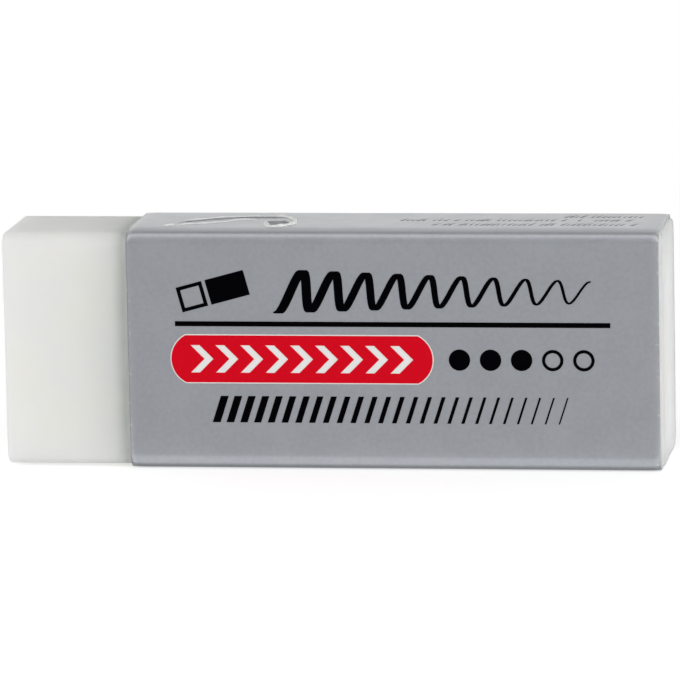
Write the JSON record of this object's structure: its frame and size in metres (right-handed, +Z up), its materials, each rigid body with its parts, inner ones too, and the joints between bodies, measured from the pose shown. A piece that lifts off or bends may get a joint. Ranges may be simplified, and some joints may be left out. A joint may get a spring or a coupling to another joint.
{
  "type": "vinyl eraser",
  "caption": "White vinyl block eraser standing on its narrow side in a printed, glued card sleeve that slides along the block.",
  "frame": {"origin": "under the middle of the block, on the underside of the sleeve, which the eraser stands on", "axes": "+X along the block from the bare working end to the held end, -Y out of the printed front, +Z up along the wide side"},
  "size_m": [0.062, 0.0128, 0.0226],
  "materials": {
    "vinyl": "satin",
    "card": "satin",
    "white_ink": "satin",
    "red_ink": "satin",
    "black_ink": "satin"
  },
  "bodies": {
    "block": {"vinyl_block": "vinyl"},
    "sleeve": {"card_sleeve": "card", "ink_white": "white_ink", "ink_red": "red_ink", "ink_black": "black_ink"}
  },
  "joints": [
    {"name": "sleeve_slide", "type": "slide", "parent": "block", "child": "sleeve", "axis": [1, 0, 0], "range_m": [-0.01185, 0.0505]}
  ]
}
